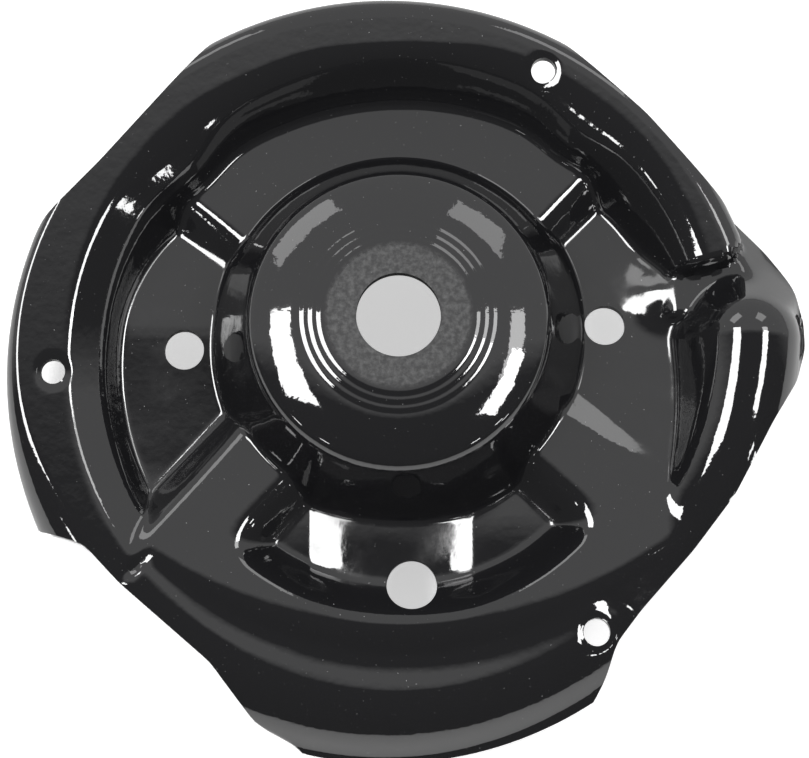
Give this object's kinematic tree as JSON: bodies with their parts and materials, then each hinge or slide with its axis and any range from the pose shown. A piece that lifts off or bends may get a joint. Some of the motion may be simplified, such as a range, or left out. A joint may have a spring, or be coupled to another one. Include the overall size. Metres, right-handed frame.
{
  "type": "strut spring seat",
  "caption": "Pressed sheet-steel upper spring seat of a suspension strut: raised boss with a rod bore, pockets with stud holes and a lobed spring channel with a wire-end hump.",
  "frame": {"origin": "on the axis of the rod bore, at the upper face of the bearing seat on the boss", "axes": "+Z along the rod axis, out of the boss on the side that faces the body of the car; +X to the right in the picture, towards the wire-end hump; +Y to the upper edge in the picture"},
  "size_m": [0.1652, 0.1576, 0.0436],
  "materials": {
    "black_paint": "gloss black dip paint over pressed sheet steel"
  },
  "bodies": {
    "root": {"spring_seat": "black_paint"}
  },
  "joints": []
}
